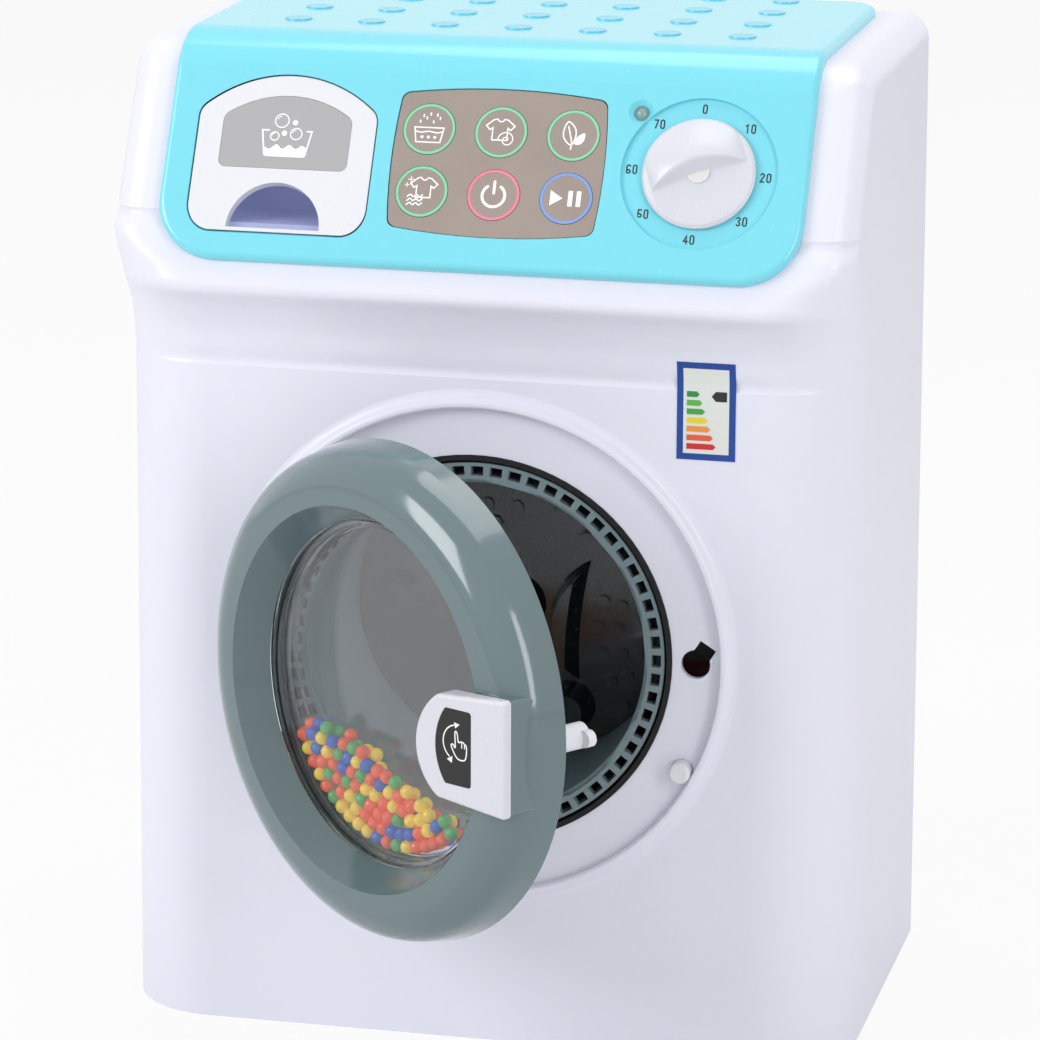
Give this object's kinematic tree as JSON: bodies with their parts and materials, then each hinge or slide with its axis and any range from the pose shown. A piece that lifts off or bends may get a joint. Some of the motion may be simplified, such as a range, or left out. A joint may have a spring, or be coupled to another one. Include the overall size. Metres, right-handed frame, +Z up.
{
  "type": "toy washing machine",
  "caption": "Front-loading toy washing machine with a hinged round door and rattle beads, turning drum, soap drawer, push buttons and a timer dial.",
  "frame": {"origin": "on the floor, in the middle of the housing's base: half of its width and half of its depth without the console lip and the door", "axes": "+Z up, the front with the door faces -Y, +X to the right when facing the front"},
  "size_m": [0.2, 0.2086, 0.2675],
  "materials": {
    "shell_white": "moulded gloss",
    "cover_aqua": "moulded gloss",
    "door_grey": "moulded gloss",
    "drum_grey": "satin",
    "panel_mirror": "metallised plastic",
    "button_clear": "glossy cap with a coloured rim",
    "window_clear": "clear plastic",
    "bead_mix": "orange, yellow, green and blue beads",
    "inner_white": "satin",
    "drawer_lilac": "satin",
    "label_grey": "printed",
    "label_dark": "printed",
    "sticker_print": "printed paper film",
    "rubber_black": "matte",
    "rubber_soft": "soft",
    "board_green": "solder mask",
    "metal_steel": "bright",
    "gear_nylon": "natural",
    "lamp_clear": "clear lens",
    "bearing_brass": "sintered"
  },
  "bodies": {
    "housing": {"front_housing": "shell_white", "base_plate": "inner_white", "back_panel": "shell_white", "back_screws": "metal_steel", "base_screws": "metal_steel", "battery_box": "inner_white", "batteries": "metal_steel", "battery_contacts": "metal_steel", "battery_hatch": "shell_white", "hatch_screw": "metal_steel", "speaker": "label_dark", "console_cover": "cover_aqua", "drawer_guide": "inner_white", "button_frame": "inner_white", "button_panel": "panel_mirror", "button_membrane": "rubber_soft", "control_board": "board_green", "selector_switch": "label_dark", "indicator_lens": "lamp_clear", "indicator_led": "lamp_clear", "energy_sticker": "sticker_print", "porthole_gasket": "rubber_black", "drum_motor": "metal_steel", "motor_bracket": "inner_white", "drum_bearing": "bearing_brass", "bracket_screws": "metal_steel", "door_switch": "label_dark", "hinge_bracket": "shell_white", "hinge_pin": "metal_steel"},
    "door": {"door_ring": "door_grey", "door_back": "door_grey", "window_front": "window_clear", "window_rear": "window_clear", "wash_beads": "bead_mix", "latch_base": "door_grey"},
    "latch": {"latch_handle": "shell_white", "latch_label": "label_dark", "latch_shaft": "shell_white"},
    "drum": {"drum_shell": "drum_grey", "drum_back": "drum_grey", "drum_shaft": "metal_steel", "shaft_clip": "metal_steel", "drum_gear": "gear_nylon"},
    "motor_rotor": {"motor_pinion": "gear_nylon", "motor_shaft": "metal_steel"},
    "drawer": {"drawer_front": "shell_white", "drawer_label": "label_grey", "drawer_tray": "drawer_lilac"},
    "dial": {"dial_knob": "shell_white", "dial_shaft": "inner_white"},
    "plunger": {"switch_plunger": "shell_white"},
    "soak_key": {"soak_button": "button_clear"},
    "rinse_key": {"rinse_button": "button_clear"},
    "eco_key": {"eco_button": "button_clear"},
    "dry_key": {"dry_button": "button_clear"},
    "power_key": {"power_button": "button_clear"},
    "play_key": {"play_button": "button_clear"}
  },
  "joints": [
    {"name": "door_hinge", "type": "hinge", "parent": "housing", "child": "door", "pos_m": [-0.06195, -0.06525, 0.1088], "axis": [0, 0, 1], "range_deg": [-74, 36.2]},
    {"name": "latch_turn", "type": "hinge", "parent": "door", "child": "latch", "pos_m": [0.03148, -0.14237, 0.1088], "axis": [-0.5913, -0.8064, 0], "range_deg": [-30, 60]},
    {"name": "drum_spin", "type": "hinge", "parent": "housing", "child": "drum", "pos_m": [0, 0, 0.1088], "axis": [0, -1, 0], "continuous": true},
    {"name": "motor_spin", "type": "hinge", "parent": "housing", "child": "motor_rotor", "pos_m": [0, 0, 0.08], "axis": [0, -1, 0], "continuous": true},
    {"name": "drawer_slide", "type": "slide", "parent": "housing", "child": "drawer", "axis": [0, -1, 0], "range_m": [0, 0.034]},
    {"name": "dial_turn", "type": "hinge", "parent": "housing", "child": "dial", "pos_m": [0.0572, -0.05069, 0.23671], "axis": [0, -0.8733, 0.4871], "range_deg": [-245, 70]},
    {"name": "plunger_press", "type": "slide", "parent": "housing", "child": "plunger", "axis": [0, 1, 0], "range_m": [0, 0.0022], "stiffness_N_per_m": 400},
    {"name": "soak_press", "type": "slide", "parent": "housing", "child": "soak_key", "axis": [0, 0.8733, -0.4871], "range_m": [0, 0.001], "stiffness_N_per_m": 1500},
    {"name": "rinse_press", "type": "slide", "parent": "housing", "child": "rinse_key", "axis": [0, 0.8733, -0.4871], "range_m": [0, 0.001], "stiffness_N_per_m": 1500},
    {"name": "eco_press", "type": "slide", "parent": "housing", "child": "eco_key", "axis": [0, 0.8733, -0.4871], "range_m": [0, 0.001], "stiffness_N_per_m": 1500},
    {"name": "dry_press", "type": "slide", "parent": "housing", "child": "dry_key", "axis": [0, 0.8733, -0.4871], "range_m": [0, 0.001], "stiffness_N_per_m": 1500},
    {"name": "power_press", "type": "slide", "parent": "housing", "child": "power_key", "axis": [0, 0.8733, -0.4871], "range_m": [0, 0.001], "stiffness_N_per_m": 1500},
    {"name": "play_press", "type": "slide", "parent": "housing", "child": "play_key", "axis": [0, 0.8733, -0.4871], "range_m": [0, 0.001], "stiffness_N_per_m": 1500}
  ],
  "couplings": [
    {"joint": "motor_spin", "follows": "drum_spin", "ratio": -3}
  ]
}
